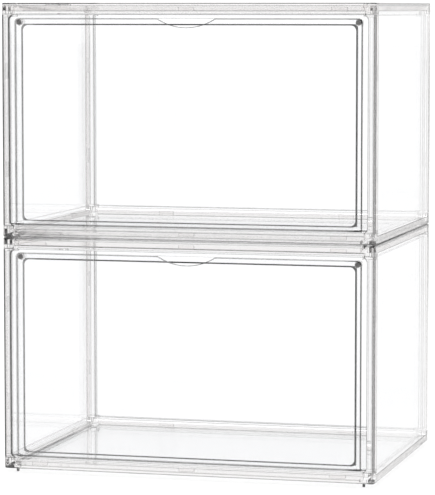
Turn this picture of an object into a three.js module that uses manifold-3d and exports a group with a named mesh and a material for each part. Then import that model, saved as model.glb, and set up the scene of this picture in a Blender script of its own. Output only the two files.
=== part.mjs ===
// Two clear, stackable, drop-front shoe boxes keyed one on top of the other.
// Millimetres, +Z up, front towards -Y. The origin is at the middle of the stack's footprint,
// at the tips of the lower box's stacking pegs.
//
// Each box is moulded in seven clear pieces: a base tray, a top cover, a front frame, two side
// walls, a back wall and a door. The door hangs on two steel pins at its bottom corners, and two
// pairs of disc magnets at its top corners keep it shut.

import * as THREE from 'three';
import { mergeVertices } from 'three/addons/utils/BufferGeometryUtils.js';
import Module from 'manifold-3d';

const wasm = await Module();
wasm.setup();

// ---- Driving dimensions of one box ----

const WIDTH = 360; // outside, left to right
const DEPTH = 270; // outside, front to back
const HEIGHT = 221; // outside, without the pegs
const CORNER_RADIUS = 3; // upright corners of the box, in plan
const GAP = 0.3; // between pieces that touch
const WALL = 2.2; // usual moulded wall

// Base tray and top cover
const RIM_HEIGHT = 7.4;
const RIM_WIDTH = 7.2;
const BLOCK_SIDE = 10.5; // solid corner blocks, in plan
const BLOCK_HEIGHT = 10.6;
const FLOOR_TOP = 5.2; // upper face of the tray's floor sheet
const COVER_SHEET = 2.4;
const GROOVE_WIDTH = 2.8; // groove in each rim that takes the walls' snap tabs
const GROOVE_DEPTH = 4.8;

// Stacking pegs and their sockets
const PEG_RADIUS = 1.5;
const PEG_LENGTH = 3.8;
const PEG_INSET_X = 11.3; // from the box's side
const PEG_INSET_Y = 8; // from the box's front or back
const PEG_BOSS_RADIUS = 4;
const SOCKET_RADIUS = 2.1;
const SOCKET_DEPTH = 4.6;

// Front frame, measured from the outside inwards and from the front backwards
const FRAME_DEPTH = 10.5;
const STEP = { side: 7.4, bottom: 10.4, top: 11, depth: 1, radius: 4 };
const POCKET = { side: 12.9, bottom: 11.2, top: 14.3, depth: 4, radius: 4.2 };
const MOUTH = { side: 19.8, bottom: 16.6, top: 20.9, radius: 5 };
const FLANGE_BACK = 6.2; // depth of the flange's rear face
const POST_GROOVE = { from: WALL, to: 6.4 };

// Door
const DOOR_THICKNESS = 2.8;
const DOOR_CLEARANCE = 0.3;
const DOOR_CORNER_RADIUS = 4;
const DOOR_TOP_GAP = 0.4;
const NOTCH_CHORD = 55; // finger notch in the door's top edge
const NOTCH_DEPTH = 8;

// Hinge pins
const AXIS_HEIGHT = 13; // above the box's base
const PIN_RADIUS = 0.8;
const BORE_RADIUS = 0.9;
const PIN_IN_DOOR = 6.8;
const PIN_IN_FRAME = 4.6;
const BORE_END_GAP = 0.4;

// Magnets
const MAGNET_RADIUS = 2.5;
const MAGNET_POCKET_RADIUS = 2.8;
const DOOR_MAGNET_LENGTH = 1.6;
const FRAME_MAGNET_LENGTH = 2.2;
const MAGNET_X = 163;
const MAGNET_HEIGHT = 202.8;
const MAGNET_BOSS = { radius: 3.7, back: 9.6, skin: 0.9 };

// Walls and their snap tabs
const WALL_RIM_HEIGHT = 4;
const WALL_RIM_WIDTH = 5;
const WALL_RIM_THICKNESS = 4.8;
const BACK_RIB = { from: 6.4, to: 8.6, height: 6.3 };
const TAB = { length: 15, thickness: 1.6, reach: 3.6, inset: 2.6 };
const SIDE_TABS_Y = [-73, 70];
const POST_TABS_Z = [64, 157];
const FRONT_TABS_X = [-145, 0, 145];
const BACK_TABS_X = [-95, 95];

// Values worked out from the ones above
const HALF_WIDTH = WIDTH / 2;
const HALF_DEPTH = DEPTH / 2;
const FRONT = -HALF_DEPTH;
const UPPER_EDGE = HEIGHT - RIM_HEIGHT - GAP; // top of the walls and the frame
const LOWER_EDGE = RIM_HEIGHT + GAP; // bottom of the walls and the frame
const BLOCK_CLEAR = BLOCK_SIDE + GAP;
const WALL_FRONT = FRONT + FRAME_DEPTH + GAP;
const WALL_BACK = HALF_DEPTH - FRAME_DEPTH - GAP;
const DOOR_FACE = FRONT + STEP.depth; // front face of the closed door
const DOOR_BACK = DOOR_FACE + DOOR_THICKNESS;
const AXIS_Y = DOOR_FACE + DOOR_THICKNESS / 2;
const DOOR_HALF_WIDTH = HALF_WIDTH - POCKET.side - DOOR_CLEARANCE;
const DOOR_TOP = HEIGHT - POCKET.top - DOOR_TOP_GAP;
const FRAME_BORE_START = HALF_WIDTH - POCKET.side;
const TIER_PITCH = HEIGHT + GAP;
const SIDES = [['left', -1], ['right', 1]];

// ---- Materials ----

const clearMoulding = new THREE.MeshStandardMaterial({
  color: 0xf1f2f4,
  roughness: 0.08,
  metalness: 0,
  transparent: true,
  opacity: 0.35,
});
const clearDoor = new THREE.MeshStandardMaterial({
  color: 0xf6f7f8,
  roughness: 0.05,
  metalness: 0,
  transparent: true,
  opacity: 0.25,
});
const pinSteel = new THREE.MeshStandardMaterial({ color: 0x77797c, roughness: 0.3, metalness: 1 });
const magnetNickel = new THREE.MeshStandardMaterial({ color: 0x4c4b49, roughness: 0.35, metalness: 1 });

// ---- Shapes and joins ----

function solid(geometry) {
  const bare = geometry.clone();
  bare.deleteAttribute('normal');
  bare.deleteAttribute('uv');
  const merged = mergeVertices(bare, 1e-4);
  return new wasm.Manifold(new wasm.Mesh({
    numProp: 3,
    vertProperties: Float32Array.from(merged.attributes.position.array),
    triVerts: Uint32Array.from(merged.index.array),
  }));
}

function union(...parts) {
  return parts.reduce((whole, part) => whole.add(part));
}

function cut(body, ...tools) {
  return tools.reduce((left, tool) => left.subtract(tool), body);
}

function toGeometry(body) {
  const mesh = body.getMesh();
  const geometry = new THREE.BufferGeometry();
  geometry.setAttribute('position', new THREE.BufferAttribute(mesh.vertProperties, 3));
  geometry.setIndex(new THREE.BufferAttribute(mesh.triVerts, 1));
  const faceted = geometry.toNonIndexed();
  faceted.computeVertexNormals();
  return faceted;
}

function box([x0, x1], [y0, y1], [z0, z1]) {
  const geometry = new THREE.BoxGeometry(x1 - x0, y1 - y0, z1 - z0);
  geometry.translate((x0 + x1) / 2, (y0 + y1) / 2, (z0 + z1) / 2);
  return solid(geometry);
}

// Outline of a rectangle from (x0, y0) to (x1, y1) whose corners are quarter circles.
function roundedRectangle(x0, y0, x1, y1, radius) {
  const shape = new THREE.Shape();
  shape.absarc(x1 - radius, y0 + radius, radius, -Math.PI / 2, 0);
  shape.absarc(x1 - radius, y1 - radius, radius, 0, Math.PI / 2);
  shape.absarc(x0 + radius, y1 - radius, radius, Math.PI / 2, Math.PI);
  shape.absarc(x0 + radius, y0 + radius, radius, Math.PI, Math.PI * 1.5);
  return shape;
}

// A flat outline in plan, carried up from z0 to z1.
function uprightPlate(shape, z0, z1) {
  const geometry = new THREE.ExtrudeGeometry(shape, {
    depth: z1 - z0,
    bevelEnabled: false,
    curveSegments: 6,
  });
  geometry.translate(0, 0, z0);
  return solid(geometry);
}

// A flat outline drawn in X and Z, carried back from y0 to y1.
function frontalPlate(shape, y0, y1, curveSegments = 6) {
  const geometry = new THREE.ExtrudeGeometry(shape, { depth: y1 - y0, bevelEnabled: false, curveSegments });
  geometry.rotateX(Math.PI / 2);
  geometry.translate(0, y1, 0);
  return solid(geometry);
}

// A rounded opening of the front frame, given by its insets from the outside of the box.
function frontalOpening({ side, bottom, top, radius }, y0, y1) {
  const outline = roundedRectangle(side - HALF_WIDTH, bottom, HALF_WIDTH - side, HEIGHT - top, radius);
  return frontalPlate(outline, y0, y1);
}

function cylinderAlongX(radius, x0, x1, y, z, sides = 16) {
  const geometry = new THREE.CylinderGeometry(radius, radius, x1 - x0, sides);
  geometry.rotateZ(Math.PI / 2);
  geometry.translate((x0 + x1) / 2, y, z);
  return solid(geometry);
}

function cylinderAlongY(radius, x, y0, y1, z, sides = 24) {
  const geometry = new THREE.CylinderGeometry(radius, radius, y1 - y0, sides);
  geometry.translate(x, (y0 + y1) / 2, z);
  return solid(geometry);
}

function cylinderAlongZ(topRadius, bottomRadius, x, y, z0, z1, sides = 20) {
  const geometry = new THREE.CylinderGeometry(topRadius, bottomRadius, z1 - z0, sides);
  geometry.rotateX(Math.PI / 2);
  geometry.translate(x, y, (z0 + z1) / 2);
  return solid(geometry);
}

// The four places that mirror one place about the box's two middle planes.
function mirrored(x, y) {
  return [[-x, -y], [x, -y], [x, y], [-x, y]];
}

function boxOutline() {
  return roundedRectangle(-HALF_WIDTH, -HALF_DEPTH, HALF_WIDTH, HALF_DEPTH, CORNER_RADIUS);
}

// ---- Base tray and top cover ----

// The rim's plan outline between two heights, with a square block in every corner.
function rimWithBlocks(rimRange, blockRange) {
  const rim = uprightPlate(boxOutline(), ...rimRange);
  const tall = uprightPlate(boxOutline(), ...blockRange);
  const reach = 20;
  const corners = mirrored(HALF_WIDTH - BLOCK_SIDE, HALF_DEPTH - BLOCK_SIDE).map(([x, y]) => box(
    x < 0 ? [x - reach, x] : [x, x + reach],
    y < 0 ? [y - reach, y] : [y, y + reach],
    [blockRange[0] - 1, blockRange[1] + 1],
  ));
  return union(rim, tall.intersect(union(...corners)));
}

// Everything inside the rim, between two heights.
function insideRim(z0, z1) {
  const x = HALF_WIDTH - RIM_WIDTH;
  const y = HALF_DEPTH - RIM_WIDTH;
  return box([-x, x], [-y, y], [z0, z1]);
}

// The groove that runs along the middle of the rim from one corner block to the next.
function rimGroove(z0, z1) {
  const endX = HALF_WIDTH - BLOCK_SIDE;
  const endY = HALF_DEPTH - BLOCK_SIDE;
  const inner = WALL + GROOVE_WIDTH;
  const front = box([-endX, endX], [-HALF_DEPTH + WALL, -HALF_DEPTH + inner], [z0, z1]);
  const back = box([-endX, endX], [HALF_DEPTH - inner, HALF_DEPTH - WALL], [z0, z1]);
  const left = box([-HALF_WIDTH + WALL, -HALF_WIDTH + inner], [-endY, endY], [z0, z1]);
  const right = box([HALF_WIDTH - inner, HALF_WIDTH - WALL], [-endY, endY], [z0, z1]);
  return union(front, back, left, right);
}

function pegPlaces() {
  return mirrored(HALF_WIDTH - PEG_INSET_X, HALF_DEPTH - PEG_INSET_Y);
}

function baseTray() {
  const shell = cut(
    rimWithBlocks([0, RIM_HEIGHT], [0, BLOCK_HEIGHT]),
    insideRim(FLOOR_TOP, BLOCK_HEIGHT + 1).subtract(trayCornerKeep()),
    insideRim(-1, FLOOR_TOP - WALL).subtract(trayCornerKeep()),
    rimGroove(RIM_HEIGHT - GROOVE_DEPTH, BLOCK_HEIGHT),
  );
  const bosses = pegPlaces().map(([x, y]) => cylinderAlongZ(PEG_BOSS_RADIUS, PEG_BOSS_RADIUS, x, y, 0, FLOOR_TOP));
  const pegs = pegPlaces().map(([x, y]) => cylinderAlongZ(PEG_RADIUS, PEG_RADIUS * 0.85, x, y, -PEG_LENGTH, 1));
  return union(shell, ...bosses, ...pegs);
}

// The corner blocks reach a little further in than the rim, so the hollows stop at them.
function trayCornerKeep() {
  const x = HALF_WIDTH - BLOCK_SIDE;
  const y = HALF_DEPTH - BLOCK_SIDE;
  const keep = mirrored(x + BLOCK_SIDE / 2, y + BLOCK_SIDE / 2).map(([cx, cy]) => box(
    [cx - BLOCK_SIDE / 2, cx + BLOCK_SIDE / 2],
    [cy - BLOCK_SIDE / 2, cy + BLOCK_SIDE / 2],
    [-HEIGHT, 2 * HEIGHT],
  ));
  return union(...keep);
}

function topCover() {
  const underside = HEIGHT - RIM_HEIGHT;
  const shell = cut(
    rimWithBlocks([underside, HEIGHT], [HEIGHT - BLOCK_HEIGHT, HEIGHT]),
    insideRim(HEIGHT - BLOCK_HEIGHT - 1, HEIGHT - COVER_SHEET).subtract(trayCornerKeep()),
    rimGroove(HEIGHT - BLOCK_HEIGHT - 1, underside + GROOVE_DEPTH),
  );
  const bosses = pegPlaces().map(([x, y]) => (
    cylinderAlongZ(PEG_BOSS_RADIUS, PEG_BOSS_RADIUS, x, y, underside, HEIGHT - COVER_SHEET / 2)));
  const sockets = pegPlaces().map(([x, y]) => (
    cylinderAlongZ(SOCKET_RADIUS, SOCKET_RADIUS, x, y, HEIGHT - SOCKET_DEPTH, HEIGHT + 1)));
  return cut(union(shell, ...bosses), ...sockets);
}

// ---- Walls ----

// Square notches that clear the tray's and the cover's corner blocks.
function blockNotches() {
  const margin = 1;
  const notches = [];
  for (const [z0, z1] of [[-margin, BLOCK_HEIGHT + GAP], [HEIGHT - BLOCK_HEIGHT - GAP, HEIGHT + margin]]) {
    for (const [, sign] of SIDES) {
      for (const end of [-1, 1]) {
        const xs = [sign * (HALF_WIDTH - BLOCK_CLEAR), sign * (HALF_WIDTH + margin)].sort((a, b) => a - b);
        const ys = [end * (HALF_DEPTH - BLOCK_CLEAR), end * (HALF_DEPTH + margin)].sort((a, b) => a - b);
        notches.push(box(xs, ys, [z0, z1]));
      }
    }
  }
  return union(...notches);
}

// A tab on the top or the bottom edge that reaches into the rim's groove.
function edgeTabs(alongX, places, acrossRange) {
  const half = TAB.length / 2;
  const heights = [
    [LOWER_EDGE - TAB.reach, LOWER_EDGE + 1],
    [UPPER_EDGE - 1, UPPER_EDGE + TAB.reach],
  ];
  return places.flatMap((place) => heights.map((zRange) => {
    const along = [place - half, place + half];
    return alongX ? box(along, acrossRange, zRange) : box(acrossRange, along, zRange);
  }));
}

function sideWall(sign) {
  const across = (from, to) => [sign * (HALF_WIDTH - from), sign * (HALF_WIDTH - to)].sort((a, b) => a - b);
  const body = box(across(0, WALL_RIM_THICKNESS), [WALL_FRONT, WALL_BACK], [LOWER_EDGE, UPPER_EDGE]);
  const hollow = box(
    across(WALL, WALL_RIM_THICKNESS + 1),
    [WALL_FRONT + WALL_RIM_WIDTH, WALL_BACK - WALL_RIM_WIDTH],
    [LOWER_EDGE + WALL_RIM_HEIGHT, UPPER_EDGE - WALL_RIM_HEIGHT],
  );
  const tabX = across(TAB.inset, TAB.inset + TAB.thickness);
  const postTabs = POST_TABS_Z.flatMap((z) => {
    const zRange = [z - TAB.length / 2, z + TAB.length / 2];
    return [
      box(tabX, [WALL_FRONT - TAB.reach, WALL_FRONT + 1], zRange),
      box(tabX, [WALL_BACK - 1, WALL_BACK + TAB.reach], zRange),
    ];
  });
  return union(cut(body, hollow), ...postTabs, ...edgeTabs(false, SIDE_TABS_Y, tabX));
}

function backWall() {
  const front = HALF_DEPTH - FRAME_DEPTH;
  const edge = { from: WALL, to: BACK_RIB.from };
  const body = box([-HALF_WIDTH, HALF_WIDTH], [front, HALF_DEPTH], [LOWER_EDGE, UPPER_EDGE])
    .intersect(uprightPlate(boxOutline(), 0, HEIGHT));
  const sheetFace = HALF_DEPTH - WALL;
  const ribFace = sheetFace - BACK_RIB.height;
  const insideX = HALF_WIDTH - BACK_RIB.to;
  const ribX = HALF_WIDTH - edge.from;
  const hollow = box(
    [-insideX, insideX],
    [front - 1, sheetFace],
    [LOWER_EDGE + WALL_RIM_HEIGHT, UPPER_EDGE - WALL_RIM_HEIGHT],
  );
  const ribTop = box([-ribX, ribX], [front - 1, ribFace], [LOWER_EDGE + WALL, UPPER_EDGE - WALL]);
  const grooves = SIDES.map(([, sign]) => box(
    [sign * (HALF_WIDTH - edge.from), sign * (HALF_WIDTH - edge.to)].sort((a, b) => a - b),
    [front - 1, sheetFace],
    [BLOCK_HEIGHT + GAP + WALL, HEIGHT - BLOCK_HEIGHT - GAP - WALL],
  ));
  const tabs = edgeTabs(true, BACK_TABS_X, [HALF_DEPTH - TAB.inset - TAB.thickness, HALF_DEPTH - TAB.inset]);
  return union(cut(body, hollow, ribTop, ...grooves, blockNotches()), ...tabs);
}

// ---- Front frame ----

function frontFrame() {
  const back = FRONT + FRAME_DEPTH;
  const body = box([-HALF_WIDTH, HALF_WIDTH], [FRONT, back], [LOWER_EDGE, UPPER_EDGE])
    .intersect(uprightPlate(boxOutline(), 0, HEIGHT));
  const step = frontalOpening(STEP, FRONT - 1, FRONT + STEP.depth);
  const pocket = frontalOpening(POCKET, FRONT - 1, FRONT + POCKET.depth);
  const squareHeel = box(
    [POCKET.side - HALF_WIDTH, HALF_WIDTH - POCKET.side],
    [FRONT - 1, FRONT + POCKET.depth],
    [POCKET.bottom, POCKET.bottom + POCKET.radius],
  );
  const mouth = frontalOpening(MOUTH, FRONT - 1, back + 1);
  const relief = box(
    [-HALF_WIDTH + WALL, HALF_WIDTH - WALL],
    [FRONT + FLANGE_BACK, back + 1],
    [LOWER_EDGE + WALL, UPPER_EDGE - WALL],
  );
  const postGrooves = SIDES.map(([, sign]) => box(
    [sign * (HALF_WIDTH - POST_GROOVE.from), sign * (HALF_WIDTH - POST_GROOVE.to)].sort((a, b) => a - b),
    [FRONT + WALL, back + 1],
    [BLOCK_HEIGHT + GAP + WALL, HEIGHT - BLOCK_HEIGHT - GAP - WALL],
  ));
  const bosses = SIDES.map(([, sign]) => cylinderAlongY(
    MAGNET_BOSS.radius,
    sign * MAGNET_X,
    FRONT + POCKET.depth + MAGNET_BOSS.skin / 2,
    FRONT + MAGNET_BOSS.back,
    MAGNET_HEIGHT,
  ));
  const magnetPockets = SIDES.map(([, sign]) => cylinderAlongY(
    MAGNET_POCKET_RADIUS,
    sign * MAGNET_X,
    FRONT + POCKET.depth + MAGNET_BOSS.skin,
    back + 1,
    MAGNET_HEIGHT,
  ));
  const bores = SIDES.map(([, sign]) => {
    const ends = [sign * (FRAME_BORE_START - 1), sign * (FRAME_BORE_START + PIN_IN_FRAME + BORE_END_GAP)];
    ends.sort((a, b) => a - b);
    return cylinderAlongX(BORE_RADIUS, ends[0], ends[1], AXIS_Y, AXIS_HEIGHT);
  });
  const tabs = edgeTabs(true, FRONT_TABS_X, [FRONT + TAB.inset, FRONT + TAB.inset + TAB.thickness]);
  const shell = cut(body, step, pocket, squareHeel, relief, ...postGrooves, blockNotches());
  return union(cut(union(shell, ...bosses), mouth, ...magnetPockets, ...bores), ...tabs);
}

function frameMagnet(sign) {
  const face = FRONT + POCKET.depth + MAGNET_BOSS.skin + GAP;
  return cylinderAlongY(MAGNET_RADIUS, sign * MAGNET_X, face, face + FRAME_MAGNET_LENGTH, MAGNET_HEIGHT);
}

// ---- Door ----

// The door's side section, a flat sheet whose bottom edge is a half circle about the hinge axis.
function doorSection() {
  const radius = DOOR_THICKNESS / 2;
  const section = new THREE.Shape();
  section.moveTo(radius, DOOR_TOP - AXIS_HEIGHT);
  section.lineTo(-radius, DOOR_TOP - AXIS_HEIGHT);
  section.absarc(0, 0, radius, Math.PI, 2 * Math.PI);
  const geometry = new THREE.ExtrudeGeometry(section, {
    depth: 2 * DOOR_HALF_WIDTH,
    bevelEnabled: false,
    curveSegments: 8,
  });
  geometry.rotateX(Math.PI / 2);
  geometry.rotateZ(Math.PI / 2);
  geometry.translate(-DOOR_HALF_WIDTH, AXIS_Y, AXIS_HEIGHT);
  return solid(geometry);
}

// The door's front outline, with rounded top corners. It runs past the bottom edge.
function doorOutline() {
  const bottom = AXIS_HEIGHT - DOOR_THICKNESS;
  const outline = roundedRectangle(-DOOR_HALF_WIDTH, bottom - 20, DOOR_HALF_WIDTH, DOOR_TOP, DOOR_CORNER_RADIUS);
  return frontalPlate(outline, DOOR_FACE - 1, DOOR_BACK + 1);
}

// A circle that cuts the notch's chord and depth out of the door's top edge.
function fingerNotch() {
  const halfChord = NOTCH_CHORD / 2;
  const radius = (halfChord ** 2 + NOTCH_DEPTH ** 2) / (2 * NOTCH_DEPTH);
  return cylinderAlongY(radius, 0, DOOR_FACE - 1, DOOR_BACK + 1, DOOR_TOP - NOTCH_DEPTH + radius, 120);
}

function doorPanel() {
  const magnetPockets = SIDES.map(([, sign]) => cylinderAlongY(
    MAGNET_POCKET_RADIUS,
    sign * MAGNET_X,
    DOOR_BACK - DOOR_MAGNET_LENGTH - GAP,
    DOOR_BACK + 1,
    MAGNET_HEIGHT,
  ));
  const bores = SIDES.map(([, sign]) => {
    const ends = [sign * (DOOR_HALF_WIDTH - PIN_IN_DOOR - BORE_END_GAP), sign * (DOOR_HALF_WIDTH + 1)];
    ends.sort((a, b) => a - b);
    return cylinderAlongX(BORE_RADIUS, ends[0], ends[1], AXIS_Y, AXIS_HEIGHT);
  });
  return cut(doorSection().intersect(doorOutline()), fingerNotch(), ...magnetPockets, ...bores);
}

function hingePin(sign) {
  const ends = [sign * (DOOR_HALF_WIDTH - PIN_IN_DOOR), sign * (FRAME_BORE_START + PIN_IN_FRAME)];
  ends.sort((a, b) => a - b);
  return cylinderAlongX(PIN_RADIUS, ends[0], ends[1], AXIS_Y, AXIS_HEIGHT);
}

function doorMagnet(sign) {
  return cylinderAlongY(MAGNET_RADIUS, sign * MAGNET_X, DOOR_BACK - DOOR_MAGNET_LENGTH, DOOR_BACK, MAGNET_HEIGHT);
}

// ---- Assembly ----

function piece(name, body, material) {
  const mesh = new THREE.Mesh(toGeometry(body), material);
  mesh.name = name;
  return mesh;
}

function shoeBox(tier) {
  const group = new THREE.Group();
  group.add(piece(`${tier}_base_tray`, baseTray(), clearMoulding));
  group.add(piece(`${tier}_top_cover`, topCover(), clearMoulding));
  group.add(piece(`${tier}_front_frame`, frontFrame(), clearMoulding));
  group.add(piece(`${tier}_back_wall`, backWall(), clearMoulding));
  group.add(piece(`${tier}_door_panel`, doorPanel(), clearDoor));
  for (const [side, sign] of SIDES) {
    group.add(piece(`${tier}_${side}_wall`, sideWall(sign), clearMoulding));
    group.add(piece(`${tier}_hinge_pin_${side}`, hingePin(sign), pinSteel));
    group.add(piece(`${tier}_door_magnet_${side}`, doorMagnet(sign), magnetNickel));
    group.add(piece(`${tier}_frame_magnet_${side}`, frameMagnet(sign), magnetNickel));
  }
  return group;
}

const stack = new THREE.Group();
['lower', 'upper'].forEach((tier, index) => {
  const oneBox = shoeBox(tier);
  oneBox.position.z = PEG_LENGTH + index * TIER_PITCH;
  stack.add(oneBox);
});

export default stack;
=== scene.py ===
"""A stack of two clear, drop-front shoe boxes.

Each box is seven clear mouldings, one of them a door that turns on two steel pins and is held
shut by magnets. Every moulding is a numpy surface: a profile of stations carried round a closed
outline. Sizes are in millimetres inside the classes and become metres when a mesh is made. The
outer sizes and the places of the two boxes come from the frame.
"""

import logging
import math
from dataclasses import dataclass, replace
from enum import Enum
from typing import Iterable

import bpy
import numpy as np
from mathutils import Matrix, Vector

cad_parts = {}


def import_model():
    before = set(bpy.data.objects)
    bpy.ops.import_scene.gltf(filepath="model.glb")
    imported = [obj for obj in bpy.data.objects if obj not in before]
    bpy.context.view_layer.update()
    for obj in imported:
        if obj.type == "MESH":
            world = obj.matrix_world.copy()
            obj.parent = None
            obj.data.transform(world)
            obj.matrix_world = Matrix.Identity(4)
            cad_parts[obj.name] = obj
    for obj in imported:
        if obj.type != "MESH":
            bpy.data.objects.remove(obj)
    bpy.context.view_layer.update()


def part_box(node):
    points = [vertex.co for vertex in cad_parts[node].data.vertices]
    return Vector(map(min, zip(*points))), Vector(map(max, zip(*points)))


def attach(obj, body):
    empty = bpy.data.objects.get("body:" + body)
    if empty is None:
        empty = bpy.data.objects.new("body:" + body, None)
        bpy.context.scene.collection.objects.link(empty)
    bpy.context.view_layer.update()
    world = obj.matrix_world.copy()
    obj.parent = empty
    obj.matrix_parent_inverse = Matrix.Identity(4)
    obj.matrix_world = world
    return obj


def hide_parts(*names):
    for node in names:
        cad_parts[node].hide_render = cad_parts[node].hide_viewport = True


Material = bpy.types.Material
Socket = bpy.types.NodeSocket
Span = tuple[float, float]
Triple = tuple[float, float, float]
Colour = tuple[float, float, float, float]

LOG = logging.getLogger("shoe_boxes")
MM = 0.001  # metres in a millimetre
OVERRUN = 1.0  # how far a joining or cutting shell runs past the face that it crosses


class Face(Enum):
    """The kinds of surface on a clear moulding, as material indices."""

    SHEET = 0  # the broad flat faces, seen through without bending
    EDGE = 1  # rims, ribs and other thick sections
    TURN = 2  # narrow roundings, painted grey by their material as shade
    DARK = 3  # the deeper roundings of mouth, corners and pegs, painted nearly black as shade


class Level(Enum):
    """The two boxes of the stack, as their nodes' names start."""

    LOWER = "lower"
    UPPER = "upper"


class Side(Enum):
    """The two sides of a box, with the sign of X there."""

    LEFT = -1.0
    RIGHT = 1.0

    @property
    def word(self) -> str:
        """The side as it stands in the nodes' names."""
        return self.name.lower()


class Rimmed(Enum):
    """The two uses of the rimmed sheet, as in the nodes' names."""

    BASE = "base_tray"
    COVER = "top_cover"


class Holder(Enum):
    """What holds a magnet, as in the nodes' names."""

    DOOR = "door"
    FRAME = "frame"


class Join(Enum):
    """How small shells are joined to a moulding."""

    ADD = "UNION"
    CUT = "DIFFERENCE"


class Slot(Enum):
    """Names for material slots; nothing in this script assigns them."""

    MOULDING = "clear_moulding"
    DOOR = "clear_door"
    STEEL = "pin_steel"
    NICKEL = "magnet_nickel"


# ---------------------------------------------------------------------------
# Surfaces
# ---------------------------------------------------------------------------


@dataclass(frozen=True)
class Surface:
    """A grid of points that closes on itself the second way.

    points: (rings, stations, 3) in millimetres.
    spans: the kind of face, as a number, between each ring and the next; all EDGE without it.
    closed: whether the last ring joins the first, as on a frame; otherwise both ends are capped.
    cap: the kind of face that the end caps are.
    """

    points: np.ndarray
    spans: np.ndarray | None = None
    closed: bool = False
    cap: Face = Face.SHEET


@dataclass(frozen=True)
class Profile:
    """A softened profile: its rows, and the kind of face between each row and the next."""

    rows: np.ndarray
    spans: np.ndarray


TURN_SHARE = 0.42  # the most that one corner's turn may take of the side it lies on


def soften(stations: np.ndarray, reach: list[float], faces: list[Face], closed: bool,
           turns: list[Face] | None = None, steps: int = 3) -> Profile:
    """Round the corners of a profile.

    Each station P with a reach d above zero becomes the parabola from P + d a to P + d b, where a
    and b point at its two neighbours: (1-t)^2 (P + d a) + 2 t (1-t) P + t^2 (P + d b).

    Args:
        stations: (K, C) profile, one station a row.
        reach: distance at which each corner starts to turn; 0 keeps the station as it is.
        faces: the kind of face that follows each station.
        closed: whether the last station's neighbour is the first.
        turns: the kind of face of each rounded corner; all TURN without it.
        steps: spans in each rounded corner.

    Returns:
        The softened rows and the kinds of face between them.
    """
    turns = turns or [Face.TURN] * len(stations)
    t = np.linspace(0.0, 1.0, steps + 1)[:, None]
    rows, spans = [], []
    last = len(stations) - 1
    for index, (here, turn, face) in enumerate(zip(stations, reach, faces)):
        if turn <= 0 or (not closed and index in (0, last)):
            rows.append(here[None])
            spans.append(face.value)
            continue
        before = stations[index - 1] - here
        after = stations[(index + 1) % len(stations)] - here
        start = here + before * min(turn / np.linalg.norm(before), TURN_SHARE)
        end = here + after * min(turn / np.linalg.norm(after), TURN_SHARE)
        rows.append((1 - t) ** 2 * start + 2 * t * (1 - t) * here + t**2 * end)
        spans += [turns[index].value] * steps + [face.value]
    return Profile(np.concatenate(rows), np.array(spans))


@dataclass(frozen=True)
class Ring:
    """One station of an upright panel's profile: a closed line round the panel.

    half: half its length across.
    low, high: its lowest and highest edge.
    depth: how far back it lies at the panel's sides, and everywhere unless bar_depth is given.
    bar_depth: how far back it lies along its low and high edges.
    radius, low_radius: rounding of its upper and its lower corners.
    notch: (half length, low, high) of the corner notches' inner corners, or None.
    reach: how far from this station the profile starts to turn.
    face: the kind of face that follows it.
    turn: the kind of face of its own rounding.
    """

    half: float
    low: float
    high: float
    depth: float
    radius: float = 0.5
    low_radius: float | None = None
    bar_depth: float | None = None
    notch: Triple | None = None
    reach: float = 0.4
    face: Face = Face.EDGE
    turn: Face = Face.TURN

    def row(self, default_notch: Triple) -> list[float]:
        """The station as numbers, for soften to blend.

        Args:
            default_notch: stands in where the ring has no notch.

        Returns:
            The eight measures, the last 1 for a notched ring and 0 for a plain one, and the notch.
        """
        notch = self.notch or default_notch
        low_radius = self.radius if self.low_radius is None else self.low_radius
        bar = self.depth if self.bar_depth is None else self.bar_depth
        notched = 0.0 if self.notch is None else 1.0
        measures = [self.half, self.low, self.high, self.depth, bar, self.radius, low_radius]
        return [*measures, notched, *notch]


NOTCH_TURN = 0.3  # rounding of a notch's own three corners
CORNER_POINTS = 12


def corner_path(step_a: np.ndarray, step_b: np.ndarray, radius: np.ndarray,
                notched: np.ndarray) -> np.ndarray:
    """Corners of rings, as insets from the corner point, from the level edge to the upright one.

    A plain corner is a quarter circle, r (1 - sin h) along and r (1 - cos h) up. A notched corner
    is an L by way of (step_a, step_b) whose three turns are parabolas. notched mixes the two.

    Args:
        step_a: (K,) length of the notch along the level edge.
        step_b: (K,) height of the notch.
        radius: (K,) radius of the plain corner.
        notched: (K,) 0 for a plain corner and 1 for a notched one.

    Returns:
        (K, CORNER_POINTS, 2) insets.
    """
    h = np.linspace(0.0, math.pi / 2, CORNER_POINTS)
    plain = radius[:, None, None] * np.stack([1 - np.sin(h), 1 - np.cos(h)], axis=-1)
    t = np.linspace(0.0, 1.0, CORNER_POINTS // 3)
    fall, rise = NOTCH_TURN * (1 - t) ** 2, NOTCH_TURN * t**2
    a, b = step_a[:, None], step_b[:, None]
    along = np.concatenate([a + fall, a - rise, 0 * a + fall], axis=1)
    up = np.concatenate([0 * b + rise, b - fall, b + rise], axis=1)
    ell = np.stack([along, up], axis=-1)
    mix = notched[:, None, None]
    return (1 - mix) * plain + mix * ell


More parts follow.
